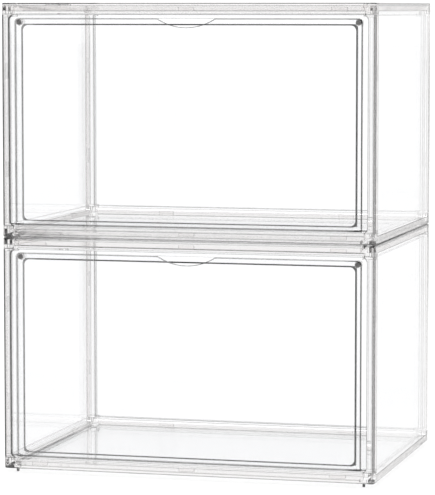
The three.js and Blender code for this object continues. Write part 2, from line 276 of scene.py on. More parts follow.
def panel(rings: list[Ring], closed: bool) -> Surface:
    """An upright panel from its rings.

    A point is (across, height, depth). Round each ring the four corner paths follow one another,
    and the depth goes smoothly from the level edges' depth to the sides' depth within a corner.

    Args:
        rings: the profile's stations in order.
        closed: whether the last station joins the first.

    Returns:
        A surface of (K, 4 * CORNER_POINTS, 3) points as (across, height, depth).
    """
    default = next((ring.notch for ring in rings if ring.notch), (0.0, 0.0, 0.0))
    profile = soften(
        np.array([ring.row(default) for ring in rings]),
        [ring.reach for ring in rings],
        [ring.face for ring in rings],
        closed,
        [ring.turn for ring in rings],
    )
    half, low, high, depth, bar, radius, low_radius, notched = profile.rows.T[:8]
    notch_half, notch_low, notch_high = profile.rows.T[8:]
    lower = corner_path(half - notch_half, notch_low - low, low_radius, notched)
    upper = corner_path(half - notch_half, high - notch_high, radius, notched)
    share = np.linspace(0.0, 1.0, CORNER_POINTS)
    share = share**2 * (3 - 2 * share)
    back = bar[:, None] + (depth - bar)[:, None] * share
    half, low, high = half[:, None], low[:, None], high[:, None]
    lower_right = np.stack([half - lower[..., 0], low + lower[..., 1], back], axis=-1)
    upper_right = np.stack([half - upper[..., 0], high - upper[..., 1], back], axis=-1)[:, ::-1]
    flip = np.array([-1.0, 1.0, 1.0])
    points = np.concatenate(
        [lower_right, upper_right, upper_right[:, ::-1] * flip, lower_right[:, ::-1] * flip], axis=1
    )
    return Surface(points, profile.spans, closed)


END_SHARE = 0.5  # radius of a turned solid's flat ends where they are capped, to the full radius


def turned(radii: Iterable[float], heights: Iterable[float], reach: float,
           sides: int = 32) -> np.ndarray:
    """A turned solid about Z.

    Each station of the profile, softened, goes round in a circle: (r cos a, r sin a, h).

    Args:
        radii: radius at each station.
        heights: height of each station.
        reach: how far from a station the profile starts to turn.
        sides: points round the circle.

    Returns:
        (K, sides, 3) points.
    """
    profile = np.array([list(radii), list(heights)]).T
    to_end = [END_SHARE, 1.0]
    profile = np.concatenate([profile[:1] * to_end, profile, profile[-1:] * to_end])
    rows = soften(profile, [reach] * len(profile), [Face.EDGE] * len(profile), False).rows
    angle = np.linspace(0.0, 2 * math.pi, sides, endpoint=False)
    r, h = rows[:, 0, None], rows[:, 1, None]
    return np.stack([r * np.cos(angle), r * np.sin(angle), h + 0 * angle], axis=-1)


def soft_block(low: Iterable[float], high: Iterable[float], turn: float = 0.25) -> Surface:
    """A small box with rounded edges, built as a panel of four softened rings.

    Args:
        low: its lowest corner.
        high: its highest corner.
        turn: rounding of its edges.

    Returns:
        One closed shell.
    """
    low, high = np.array(low, float), np.array(high, float)
    centre, half = (low + high) / 2, (high - low) / 2
    near, far = -half[1], half[1]
    rings = [
        Ring(half[0] - turn, turn - half[2], half[2] - turn, near, turn, reach=0),
        Ring(half[0], -half[2], half[2], near, turn, reach=turn),
        Ring(half[0], -half[2], half[2], far, turn, reach=turn),
        Ring(half[0] - turn, turn - half[2], half[2] - turn, far, turn, reach=0),
    ]
    skin = panel(rings, closed=False)
    return Surface(skin.points[..., [0, 2, 1]] + centre, skin.spans, cap=Face.EDGE)


# ---------------------------------------------------------------------------
# Meshes and pieces
# ---------------------------------------------------------------------------


def signed_volume(points: np.ndarray, closed: bool) -> float:
    """Six times the volume inside a grid, by the triple products of its quads' halves.

    The ends of an open grid are closed with fans from their own middle points.

    Args:
        points: (rings, stations, 3) grid.
        closed: whether the last ring joins the first.

    Returns:
        The volume, below zero where the faces point inwards.
    """
    rings = np.concatenate([points, points[:1]]) if closed else points
    if not closed:
        first = np.broadcast_to(points[0].mean(0), points[0].shape)
        last = np.broadcast_to(points[-1].mean(0), points[-1].shape)
        rings = np.concatenate([first[None], points, last[None]])
    a, b = rings[:-1], np.roll(rings[:-1], -1, axis=1)
    d, c = rings[1:], np.roll(rings[1:], -1, axis=1)
    triple = sum(np.einsum("kni,kni->kn", a, np.cross(*pair)) for pair in ((b, c), (c, d)))
    return float(triple.sum())


def grid_faces(surface: Surface, offset: int) -> tuple[list[list[int]], list[int]]:
    """Faces of a surface and their material indices, all facing outwards.

    Quads join each ring to the next one, and an open surface's end rings are capped.

    Args:
        surface: the grid.
        offset: index of its first vertex in the mesh.

    Returns:
        The faces as lists of vertices, and a material index for each.
    """
    count, around = surface.points.shape[:2]
    index = offset + np.arange(count * around).reshape(count, around)
    following = np.roll(index, -1, axis=0) if surface.closed else index[1:]
    start = index if surface.closed else index[:-1]
    quads = np.stack(
        [start, np.roll(start, -1, axis=1), np.roll(following, -1, axis=1), following], axis=-1
    ).reshape(-1, 4)
    caps = [] if surface.closed else [index[0][::-1], index[-1]]
    if signed_volume(surface.points, surface.closed) < 0:
        quads = quads[:, ::-1]
        caps = [cap[::-1] for cap in caps]
    faces = quads.tolist() + [cap.tolist() for cap in caps]
    spans = np.full(count, Face.EDGE.value) if surface.spans is None else surface.spans
    kinds = np.repeat(spans[: len(start)], around).tolist() + [surface.cap.value] * len(caps)
    return faces, kinds


CURVE_ANGLE = math.radians(35)  # edges sharper than this stay sharp on a smooth piece


def make_object(name: str, surfaces: list[Surface], shift: np.ndarray,
                materials: list[Material], smooth: bool = False) -> bpy.types.Object:
    """A mesh object of several closed surfaces, at the origin, in metres.

    Args:
        name: the piece's name.
        surfaces: the closed shells that it is made of.
        shift: (3,) millimetres from the surfaces' own frame to the scene's.
        materials: its materials, in the order of Face.
        smooth: whether its shallow angles are shaded as curves.

    Returns:
        The object, linked to the scene.
    """
    faces: list[list[int]] = []
    kinds: list[int] = []
    offset = 0
    for surface in surfaces:
        more_faces, more_kinds = grid_faces(surface, offset)
        faces += more_faces
        kinds += more_kinds
        offset += surface.points.shape[0] * surface.points.shape[1]
    vertices = np.concatenate([surface.points.reshape(-1, 3) for surface in surfaces])
    mesh = bpy.data.meshes.new(name)
    mesh.from_pydata(((vertices + shift) * MM).tolist(), [], faces)
    for material in materials:
        mesh.materials.append(material)
    mesh.polygons.foreach_set("material_index", kinds)
    if smooth:
        mesh.shade_smooth()
        mesh.set_sharp_from_angle(angle=CURVE_ANGLE)
    piece = bpy.data.objects.new(name, mesh)
    bpy.context.scene.collection.objects.link(piece)
    return piece


def join_shells(piece: bpy.types.Object, surfaces: list[Surface], shift: np.ndarray,
                operation: Join) -> None:
    """Add shells to a piece, or cut them out of it, and keep the result as its mesh.

    Args:
        piece: the piece to change.
        surfaces: closed shells that don't overlap one another.
        shift: (3,) millimetres from the surfaces' frame to the scene's.
        operation: whether they are added or cut out.
    """
    tool = make_object(f"{piece.name}_tool", surfaces, shift, list(piece.data.materials))
    modifier = piece.modifiers.new("join", "BOOLEAN")
    modifier.object = tool
    modifier.operation = operation.value
    modifier.solver = "MANIFOLD"
    modifier.material_mode = "INDEX"
    graph = bpy.context.evaluated_depsgraph_get()
    result = bpy.data.meshes.new_from_object(piece.evaluated_get(graph))
    piece.modifiers.clear()
    old = piece.data
    old_name = old.name
    piece.data = result
    bpy.data.meshes.remove(old)
    result.name = old_name
    tool_mesh = tool.data
    bpy.data.objects.remove(tool)
    bpy.data.meshes.remove(tool_mesh)


def settle(piece: bpy.types.Object, node: str, body: str) -> None:
    """Put a finished piece on its body in place of its CAD node.

    Args:
        piece: the finished piece.
        node: the CAD node that it stands for.
        body: the body that it rides on.
    """
    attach(piece, body)
    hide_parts(node)
    LOG.info("%s: %d faces on %s", piece.name, len(piece.data.polygons), body)


def cylinder_x(radius: float, ends: Span, y: float, z: float, turn: float = 0.0) -> Surface:
    """A round bar along X between two ends."""
    points = turned([radius, radius], sorted(ends), turn)[..., [2, 0, 1]]
    return Surface(points + np.array([0.0, y, z]), cap=Face.EDGE)


def cylinder_y(radius: float, x: float, ends: Span, z: float, turn: float = 0.0) -> Surface:
    """A round bar along Y between two ends."""
    points = turned([radius, radius], ends, turn)[..., [1, 2, 0]]
    return Surface(points + np.array([x, 0.0, z]), cap=Face.EDGE)


def cylinder_z(radii: Span, x: float, y: float, ends: Span, turn: float = 0.0,
               face: Face = Face.EDGE) -> Surface:
    """A round, tapered bar along Z between two ends."""
    points = turned(radii, ends, turn)
    return Surface(points + np.array([x, y, 0.0]), np.full(len(points), face.value), cap=face)


# ---------------------------------------------------------------------------
# Places shared by the mouldings of one box
# ---------------------------------------------------------------------------


@dataclass(frozen=True)
class Tier:
    """One box of the stack, with its outer sizes read from the frame.

    name: the prefix of its nodes.
    body, door_body: the bodies that its shell and its door ride on.
    base: height of its base above the ground, without the pegs.
    half_width, half_depth, height: its outside, in millimetres.
    """

    name: str
    body: str
    door_body: str
    base: float
    half_width: float
    half_depth: float
    height: float

    @classmethod
    def from_frame(cls, level: Level) -> "Tier":
        """Read a box's place and size from the boxes of its tray and its cover.

        Args:
            level: which box it is.

        Returns:
            The box's names and sizes.
        """
        name = level.value
        low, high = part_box(f"{name}_base_tray")
        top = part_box(f"{name}_top_cover")[1].z / MM
        base = low.z / MM + CORNERS.peg_length
        return cls(name, f"{name}_box", f"{name}_door", base, high.x / MM, high.y / MM, top - base)

    @property
    def shift(self) -> np.ndarray:
        """From this box's own millimetres to the scene's."""
        return np.array([0.0, 0.0, self.base])

    def frontal(self, skin: Surface) -> Surface:
        """Place a panel of (across, height, depth) points with its depth from the front back."""
        across, height, depth = np.moveaxis(skin.points, -1, 0)
        return replace(skin, points=np.stack([across, depth - self.half_depth, height], axis=-1))

    def rearward(self, skin: Surface) -> Surface:
        """Place a panel of (across, height, depth) points with its depth from the back forward."""
        across, height, depth = np.moveaxis(skin.points, -1, 0)
        return replace(skin, points=np.stack([across, self.half_depth - depth, height], axis=-1))

    def sideways(self, skin: Surface, side: Side) -> Surface:
        """Place a panel of (across, height, depth) points with its depth from one side inwards."""
        across, height, depth = np.moveaxis(skin.points, -1, 0)
        x = side.value * (self.half_width - depth)
        return replace(skin, points=np.stack([x, across, height], axis=-1))


@dataclass(frozen=True)
class Corners:
    """The corner blocks, pegs and sockets that the tray and the cover share."""

    radius: float = 3.0  # upright corners of the box
    block: float = 10.5
    block_height: float = 10.6
    clear: float = 10.75  # from the outside to the walls' notches
    peg_inset_x: float = 11.3
    peg_inset_y: float = 8.0
    peg_radius: float = 1.5
    peg_tip: float = 0.85  # radius of a peg's tip, to its root's
    peg_length: float = 3.8
    boss_radius: float = 4.0
    socket_radius: float = 2.1
    socket_depth: float = 4.6
    turn: float = 0.3  # rounding of pegs and sockets

    def places(self, tier: Tier) -> list[Span]:
        """The four places of the pegs, in plan."""
        x, y = tier.half_width - self.peg_inset_x, tier.half_depth - self.peg_inset_y
        return [(-x, -y), (x, -y), (x, y), (-x, y)]


@dataclass(frozen=True)
class Tabs:
    """Snap tabs on the edges of the walls, which reach into the rims' grooves."""

    length: float = 15.0
    thickness: float = 1.6
    reach: float = 3.6
    inset: float = 2.6
    root: float = 0.8  # how far a tab's root is sunk into its wall
    side_y: tuple[float, ...] = (-73.0, 70.0)
    post_z: tuple[float, ...] = (64.0, 157.0)
    front_x: tuple[float, ...] = (-145.0, 0.0, 145.0)
    back_x: tuple[float, ...] = (-95.0, 95.0)

    def across_edges(self, low: float, high: float) -> list[Span]:
        """Ranges of the tabs that stand out past a wall's two opposite edges."""
        return [(low - self.reach, low + self.root), (high - self.root, high + self.reach)]

    def level_edges(self, places: tuple[float, ...], across: Span, edges: Span,
                    along_x: bool) -> list[Surface]:
        """Tabs that stand down from a wall's low edge and up from its high edge.

        Args:
            places: the tabs' middles along the wall.
            across: the range of their thickness.
            edges: heights of the wall's low and high edges.
            along_x: whether the wall runs along X.

        Returns:
            Two tabs for each place.
        """
        heights = self.across_edges(*edges)
        blocks = []
        for place in places:
            ends = (place - self.length / 2, place + self.length / 2)
            x, y = (ends, across) if along_x else (across, ends)
            blocks += [soft_block((x[0], y[0], z[0]), (x[1], y[1], z[1])) for z in heights]
        return blocks


CORNERS = Corners()
TABS = Tabs()


# ---------------------------------------------------------------------------
# Base tray and top cover
# ---------------------------------------------------------------------------


@dataclass(frozen=True)
class RimStation:
    """One station of a tray's profile.

    inset: how far inside the box's outline it runs.
    height, corner_height: its height along the sides and over the corner blocks.
    reach: how far from it the profile starts to turn.
    face: the kind of face that follows it.
    """

    inset: float
    height: float
    corner_height: float
    reach: float = 0.4
    face: Face = Face.EDGE


@dataclass(frozen=True)
class Tray:
    """A sheet with a rim, four corner blocks and a groove for the walls' tabs.

    The base tray stands on its rim. The top cover is the same moulding turned over, with its sheet
    flush with the rim's outer face.
    """

    use: Rimmed = Rimmed.BASE
    sheet: Span = (3.0, 5.2)  # lower and upper face of the sheet
    rim_height: float = 7.4
    rim_width: float = 7.2
    groove: Span = (2.2, 5.0)
    groove_floor: float = 2.6
    draft: float = 0.12
    margin: float = 1.0  # width of the sheet's border that belongs to the rim's profile
    zone_slope: float = 0.25  # length over which the rim climbs to a corner block
    least_radius: float = 0.4  # of the rim's corners in plan
    block_turn: float = 0.6  # rounding of a corner block's inner corner in plan
    boss_start: float = 0.3  # from the outer face to a boss
    boss_overlap: float = 0.6  # from the sheet's inner face to a boss's end

    @property
    def upside_down(self) -> bool:
        """Whether it is turned over, as the cover is."""
        return self.use is Rimmed.COVER

    def stations(self) -> list[RimStation]:
        """The rim's profile, from the sheet's lower face round to its upper one.

        Returns:
            Its stations. A sheet at height 0 is flush with the rim and needs no step below it.
        """
        top, block = self.rim_height, CORNERS.block_height
        near, far = self.groove
        low, high = self.sheet
        if low == 0:
            start = [RimStation(self.rim_width, 0.0, 0.0, 0.0)]
        else:
            start = [
                RimStation(self.rim_width + self.margin, low, low, 0.0),
                RimStation(self.rim_width, low, low, 0.3),
                RimStation(self.rim_width, 0.0, 0.0, 0.5),
            ]
        return start + [
            RimStation(0.0, 0.0, 0.0, 1.8),
            RimStation(0.0, top, block, 0.45),
            RimStation(near, top, block, 0.25),
            RimStation(near + self.draft, self.groove_floor, block, 0.25),
            RimStation(far - self.draft, self.groove_floor, block, 0.25),
            RimStation(far, top, block, 0.25),
            RimStation(self.rim_width, top, block, 0.45),
            RimStation(self.rim_width + self.draft, high, high, 0.3),
            RimStation(self.rim_width + self.margin, high, high, 0.0),
        ]

    def surface(self, tier: Tier) -> Surface:
        """Carry the profile round the box's outline in plan.

        A station outside the blocks' inner edge turns its corner in an arc of the outline's radius
        less its inset; one inside it goes round the block's inner corner in an L with a parabola at
        its turn. Along the sides it keeps its height, and over a block it has its corner height.

        Args:
            tier: the box that it belongs to.

        Returns:
            One closed shell, in the box's own millimetres.
        """
        stations = self.stations()
        profile = soften(
            np.array([[s.inset, s.height, s.corner_height] for s in stations]),
            [s.reach for s in stations],
            [s.face for s in stations],
            False,
        )
        inset, height, corner_height = profile.rows.T
        block = CORNERS.block
        outer = np.clip((self.rim_width - inset) / (self.rim_width - self.groove[1]), 0, 1)[:, None]
        turn = np.linspace(0.0, math.pi / 2, CORNER_POINTS)
        radius = np.maximum(CORNERS.radius - inset, self.least_radius)[:, None]
        arc_p = inset[:, None] + radius * (1 - np.sin(turn))
        arc_q = inset[:, None] + radius * (1 - np.cos(turn))
        t = np.linspace(0.0, 1.0, CORNER_POINTS)
        inner = block + np.maximum(inset - self.rim_width, 0)[:, None]
        ell_p, ell_q = inner - self.block_turn * t**2, inner - self.block_turn * (1 - t) ** 2
        p = outer * arc_p + (1 - outer) * ell_p
        q = outer * arc_q + (1 - outer) * ell_q
        along = np.stack([inner[:, 0] + self.zone_slope, inner[:, 0]], axis=1)
        across = np.stack([inset, inset], axis=1)
        p = np.concatenate([along, p, across], axis=1)
        q = np.concatenate([across, q, along[:, ::-1]], axis=1)
        level = np.repeat(corner_height[:, None], p.shape[1], axis=1)
        level[:, [0, -1]] = height[:, None]
        x, y = tier.half_width - p, tier.half_depth - q
        corners = [(x, -y, False), (x, y, True), (-x, y, False), (-x, -y, True)]
        quarters = [
            np.stack([cx, cy, level], axis=-1)[:, :: -1 if reverse else 1]
            for cx, cy, reverse in corners
        ]
        points = np.concatenate(quarters, axis=1)
        if self.upside_down:
            points = points * [1, 1, -1] + [0, 0, tier.height]
        return Surface(points, profile.spans)

    def build(self, tier: Tier, materials: list[Material]) -> None:
        """Make the moulding, with its bosses and its pegs or sockets, and put it in place.

        Args:
            tier: the box that it belongs to.
            materials: its finishes, in the order of Face.
        """
        node = f"{tier.name}_{self.use.value}"
        piece = make_object(f"{node}_shell", [self.surface(tier)], tier.shift, materials)
        height, peg = tier.height, CORNERS.peg_radius
        bosses, pins = [], []
        for x, y in CORNERS.places(tier):
            if self.upside_down:
                ends = (height - self.rim_height, height - self.boss_start)
                hole = (height - CORNERS.socket_depth, height + OVERRUN)
                radii = (CORNERS.socket_radius,) * 2
                pins.append(cylinder_z(radii, x, y, hole, CORNERS.turn))
            else:
                ends = (self.boss_start, self.sheet[1] - self.boss_overlap)
                shaft = (-CORNERS.peg_length, OVERRUN)
                radii = (peg * CORNERS.peg_tip, peg)
                # The pegs are tinted nearly black as painted shade.
                pins.append(cylinder_z(radii, x, y, shaft, CORNERS.turn, Face.DARK))
            bosses.append(cylinder_z((CORNERS.boss_radius,) * 2, x, y, ends))
        join_shells(piece, bosses, tier.shift, Join.ADD)
        join_shells(piece, pins, tier.shift, Join.CUT if self.upside_down else Join.ADD)
        settle(piece, node, tier.body)


# ---------------------------------------------------------------------------
# Walls
# ---------------------------------------------------------------------------


WALL_CORNER = 1.2  # rounding of a sheet's corners inside its border
WALL_LEAN = 0.1  # draft of a border's inner faces
WALL_LANDING = 1.5  # from a border to where the sheet is quite flat


def landing(inner: Triple, depth: float, reach: float) -> list[Ring]:
    """The two rings where a border's inner faces meet their sheet.

    Args:
        inner: half length, low and high edge of the border's inner outline.
        depth: of the sheet's face.
        reach: how far from their meeting the profile starts to turn.

    Returns:
        One ring at the foot of the border and one a landing inside it.
    """
    half, low, high = inner
    foot = (half - WALL_LEAN, low + WALL_LEAN, high - WALL_LEAN)
    flat = (half - WALL_LANDING, low + WALL_LANDING, high - WALL_LANDING)
    return [
        Ring(*foot, depth, radius=WALL_CORNER, reach=reach, face=Face.SHEET),
        Ring(*flat, depth, radius=WALL_CORNER, reach=0),
    ]


@dataclass(frozen=True)
class SideWall:
    """A side sheet with a thicker border that stands inwards."""

    ends: float = 10.8  # from the box's front or back to the wall
    edge: float = 7.7  # from the box's base or top to the wall
    sheet: float = 2.2
    border: float = 4.8
    border_height: float = 4.0
    border_width: float = 5.0

    def build(self, tier: Tier, side: Side, materials: list[Material]) -> None:
        """Make one side wall with its tabs and put it in place.

        Args:
            tier: the box that it belongs to.
            side: which side it is on.
            materials: its finishes, in the order of Face.
        """
        half = tier.half_depth - self.ends
        low, high = self.edge, tier.height - self.edge
        inner = (half - self.border_width, low + self.border_height, high - self.border_height)
        rings = [
            Ring(*inner, 0.0, reach=0, face=Face.SHEET),
            Ring(half, low, high, 0.0, reach=0.45),
            Ring(half, low, high, self.border, reach=0.35, face=Face.SHEET),
            Ring(*inner, self.border, radius=WALL_CORNER, reach=0.35),
            *landing(inner, self.sheet, 0.5),
        ]
        node = f"{tier.name}_{side.word}_wall"
        surface = tier.sideways(panel(rings, False), side)
        piece = make_object(f"{node}_shell", [surface], tier.shift, materials)
        offsets = (TABS.inset, TABS.inset + TABS.thickness)
        x = sorted(side.value * (tier.half_width - offset) for offset in offsets)
        tabs = TABS.level_edges(TABS.side_y, (x[0], x[1]), (low, high), False)
        for z in TABS.post_z:
            foot, head = z - TABS.length / 2, z + TABS.length / 2
            for y in TABS.across_edges(-half, half):
                tabs.append(soft_block((x[0], y[0], foot), (x[1], y[1], head)))
        join_shells(piece, tabs, tier.shift, Join.ADD)
        settle(piece, node, tier.body)


SIDE_TURN_START = math.radians(10)  # where a rounded upright corner starts to take the painted dark shade


@dataclass(frozen=True)
class CornerPost:
    """What the front frame and the back wall share: their rounded corners and block notches."""

    depth: float = 10.5
    edge: float = 7.7  # from the box's base or top
    skin: float = 2.2
    draft: float = 0.1
    block_gap: float = 0.3  # between a corner block and the notch round it
    groove_gap: float = 0.4  # from the skin to the groove's inner side, up and down
    groove_step: float = 0.2  # the same at a notch
    side_face: Face = Face.DARK  # of the rounded corners, towards the box's sides; DARK there is painted near-black shade

    def notch(self, tier: Tier, thickness: float) -> Triple:
        """Inner corner of a block notch, for a line that runs a thickness inside the outside."""
        height = CORNERS.block_height + self.block_gap + thickness
        return tier.half_width - CORNERS.clear - thickness, height, tier.height - height

    def rounded(self, tier: Tier, turns: int = 6, edge_turn: float = 0.4) -> list[Ring]:
        """Rings of the rounded upright corners: a quarter circle in plan.

        With h from 0 to 90 degrees a ring stands R sin h out from where the corner starts, and
        R (1 - cos h) back from the front.

        Args:
            tier: the box that it belongs to.
            turns: spans in the quarter circle.
            edge_turn: how far the low and high edges are drawn in at its start.

        Returns:
            The rings from the front face round to the side.
        """
        radius = CORNERS.radius
        rings = []
        quarter = math.pi / 2
        for h in np.linspace(0.0, quarter, turns + 1):
            edge = self.edge + edge_turn * (1 - math.sin(h)) ** 2
            half = tier.half_width - radius + radius * math.sin(h)
            depth = radius * (1 - math.cos(h))
            face = self.side_face if SIDE_TURN_START < h < quarter else Face.EDGE
            outline = (half, edge, tier.height - edge)
            notch = self.notch(tier, 0.0)
            rings.append(Ring(*outline, depth, notch=notch, reach=0, face=face))
        return rings

    def rim(self, tier: Tier, inset: float, depth: float, bar_depth: float | None, reach: float,
            face: Face = Face.EDGE) -> Ring:
        """A notched ring that runs inside the outside.

        Args:
            tier: the box that it belongs to.
            inset: how far inside it runs.
            depth: of its upright parts.
            bar_depth: of its level parts, or None where it is the same.
            reach: how far from it the profile starts to turn.
            face: the kind of face that follows it.

        Returns:
            The ring.
        """
        return Ring(
            tier.half_width - inset, self.edge + inset, tier.height - self.edge - inset, depth,
            bar_depth=bar_depth, notch=self.notch(tier, inset), reach=reach, face=face,
        )

    def groove_far(self, tier: Tier, inset: float, depth: float, bar_depth: float,
                   face: Face = Face.EDGE) -> Ring:
        """The ring at the inner side of the posts' groove, close inside the skin elsewhere.

        Args:
            tier: the box that it belongs to.
            inset: from the box's side to the ring.
            depth: of its upright parts.
            bar_depth: of its level parts.
            face: the kind of face that follows it.

        Returns:
            A notched ring.
        """
        edge = self.edge + self.skin + self.groove_gap
        half, low, high = self.notch(tier, self.skin)
        step = self.groove_step
        return Ring(
            tier.half_width - inset, edge, tier.height - edge, depth, bar_depth=bar_depth,
            notch=(half - step, low + step, high - step), reach=0.25, face=face,
        )

    def groove(self, tier: Tier, inset: float, back: float, bars: Span) -> list[Ring]:
        """Rings from the side, round the skin's back and through the posts' groove.

        Args:
            tier: the box that it belongs to.
            inset: from the box's side to the groove's inner side.
            back: depth of the flat face that follows the groove.
            bars: depths of the level parts at the groove's outer and inner side.

        Returns:
            Five notched rings.
        """
        return [
            self.rim(tier, 0.0, self.depth, None, 0.4),
            self.rim(tier, self.skin, self.depth, None, 0.3),
            self.rim(tier, self.skin + self.draft, self.skin, bars[0], 0.25, Face.SHEET),
            self.groove_far(tier, inset, self.skin, bars[1]),
            self.groove_far(tier, inset + self.draft, back, back, Face.SHEET),
        ]


@dataclass(frozen=True)
class FrontFrame(CornerPost):
    """The frame that the door closes on: a step, a pocket for the door, a flange and the mouth.

    step_inset, pocket_inset, mouth_inset: from the box's side, base and top to each outline.
    step_depth, pocket_depth, flange_back: how far back each level lies.
    step_radius, pocket_radius, mouth_radius: of each outline's corners.
    pocket_foot: radius of the pocket's lower corners, where the door's foot turns.
    step_turns: roundings of the step's foot and of its front edge.
    pocket_turn, mouth_turn: roundings of those outlines.
    boss_depths: where the magnets' bosses start and end.
    magnet_floor: where the magnets' pockets start.
    """

    step_inset: Triple = (7.4, 10.4, 11.0)
    pocket_inset: Triple = (12.9, 11.2, 14.3)
    mouth_inset: Triple = (19.8, 16.6, 20.9)
    step_depth: float = 1.0
    pocket_depth: float = 4.0
    flange_back: float = 6.2
    step_radius: float = 6.0
    pocket_radius: float = 4.2
    mouth_radius: float = 5.0
    pocket_foot: float = 0.4
    step_turns: Span = (0.9, 1.0)
    pocket_turn: float = 0.6
    mouth_turn: float = 2.4
    groove_end: float = 6.4
    magnet_boss: float = 3.7
    magnet_pocket: float = 2.8
    boss_depths: Span = (5.2, 9.6)
    boss_turn: float = 0.3
    magnet_floor: float = 4.9
    magnet_turn: float = 0.2
    bore: float = 0.9
    bore_end: float = 7.9  # from the outside to the pin bore's end

    def rings(self, tier: Tier) -> list[Ring]:
        """The frame's closed profile, from the outside inwards and back round.

        Args:
            tier: the box that it belongs to.

        Returns:
            The rings of a closed panel.
        """
        step, pocket, mouth = (
            (tier.half_width - side, low, tier.height - top)
            for side, low, top in (self.step_inset, self.pocket_inset, self.mouth_inset)
        )
        back, depth = self.flange_back, self.pocket_depth
        ledge = back + self.draft
        foot_turn, edge_turn = self.step_turns
        # Painted shade: the mouth's rounding is tinted nearly black, and the step's foot grey.
        lip = {"radius": self.mouth_radius, "reach": self.mouth_turn, "turn": Face.DARK}
        edge = {
            "radius": self.pocket_radius, "low_radius": self.pocket_foot, "reach": self.pocket_turn,
        }
        return self.rounded(tier) + self.groove(tier, self.groove_end, back, (ledge, ledge)) + [
            Ring(*mouth, back, face=Face.DARK, **lip),
            Ring(*mouth, depth, face=Face.SHEET, **lip),
            Ring(*pocket, depth, **edge),
            Ring(*pocket, self.step_depth, face=Face.SHEET, **edge),
            Ring(*step, self.step_depth, self.step_radius, reach=foot_turn, face=Face.TURN),
            Ring(*step, 0.0, self.step_radius, reach=edge_turn),
        ]

    def build(self, tier: Tier, materials: list[Material]) -> None:
        """Make the frame with its tabs, magnet bosses and pin bores, and put it in place.

        Args:
            tier: the box that it belongs to.
            materials: its finishes, in the order of Face.
        """
        surface = tier.frontal(panel(self.rings(tier), True))
        piece = make_object(f"{tier.name}_front_frame_shell", [surface], tier.shift, materials)
        front = -tier.half_depth
        across = (front + TABS.inset, front + TABS.inset + TABS.thickness)
        boss = tuple(front + depth for depth in self.boss_depths)
        hole = (front + self.magnet_floor, front + self.depth)
        added = TABS.level_edges(TABS.front_x, across, (self.edge, tier.height - self.edge), True)
        removed = []
        for side in Side:
            x, _, z = local_centre(tier, f"frame_magnet_{side.word}")
            added.append(cylinder_y(self.magnet_boss, x, boss, z, self.boss_turn))
            removed.append(cylinder_y(self.magnet_pocket, x, hole, z, self.magnet_turn))
            _, y, z = local_centre(tier, f"hinge_pin_{side.word}")
            inner = tier.half_width - self.pocket_inset[0] - OVERRUN
            ends = (side.value * inner, side.value * (tier.half_width - self.bore_end))
            removed.append(cylinder_x(self.bore, ends, y, z))
        join_shells(piece, added, tier.shift, Join.ADD)
        join_shells(piece, removed, tier.shift, Join.CUT)
        settle(piece, f"{tier.name}_front_frame", tier.body)


@dataclass(frozen=True)
class BackWall(CornerPost):
    """The rear sheet, between two ribbed posts and two bars."""

    side_face: Face = Face.EDGE
    rib: Span = (6.4, 8.6)  # from the box's side
    rib_depth: float = 8.5
    rib_slope: float = 0.05  # how much less deep the bars are beside the groove
    rib_turn: float = 1.1
    bar: float = 11.7  # from the box's base or top to the bars' inner edge

    def rings(self, tier: Tier) -> list[Ring]:
        """The wall's profile, from the outer face round to the inner one.

        Args:
            tier: the box that it belongs to.

        Returns:
            The rings of an open panel.
        """
        inner = (tier.half_width - self.rib[1], self.bar, tier.height - self.bar)
        deep = self.rib_depth
        return [
            Ring(*inner, 0.0, reach=0, face=Face.SHEET),
            *self.rounded(tier),
            *self.groove(tier, self.rib[0], deep, (deep, deep - self.rib_slope)),
            # Painted shade: the rib's inner rounding is tinted nearly black, and the face after it
            # grey.
            Ring(*inner, deep, WALL_CORNER, reach=self.rib_turn, face=Face.TURN, turn=Face.DARK),
            *landing(inner, self.skin, 0.6),
        ]

    def build(self, tier: Tier, materials: list[Material]) -> None:
        """Make the back wall with its tabs and put it in place.

        Args:
            tier: the box that it belongs to.
            materials: its finishes, in the order of Face.
        """
        surface = tier.rearward(panel(self.rings(tier), False))
        piece = make_object(f"{tier.name}_back_wall_shell", [surface], tier.shift, materials)
        across = (tier.half_depth - TABS.inset - TABS.thickness, tier.half_depth - TABS.inset)
        tabs = TABS.level_edges(TABS.back_x, across, (self.edge, tier.height - self.edge), True)
        join_shells(piece, tabs, tier.shift, Join.ADD)
        settle(piece, f"{tier.name}_back_wall", tier.body)


# ---------------------------------------------------------------------------
# Door and small parts
# ---------------------------------------------------------------------------


def local_centre(tier: Tier, part: str) -> Triple:
    """Middle of one of a box's nodes, in the box's own millimetres.

    Args:
        tier: the box.
        part: the node's name without the box's.

    Returns:
        Its place across, along and up.
    """
    low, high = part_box(f"{tier.name}_{part}")
    centre = (low + high) / (2 * MM)
    return centre.x, centre.y, centre.z - tier.base


def local_box(tier: Tier, part: str) -> tuple[np.ndarray, np.ndarray]:
    """Lowest and highest corner of one of a box's nodes, in the box's own millimetres."""
    low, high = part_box(f"{tier.name}_{part}")
    return np.array(low) / MM - tier.shift, np.array(high) / MM - tier.shift


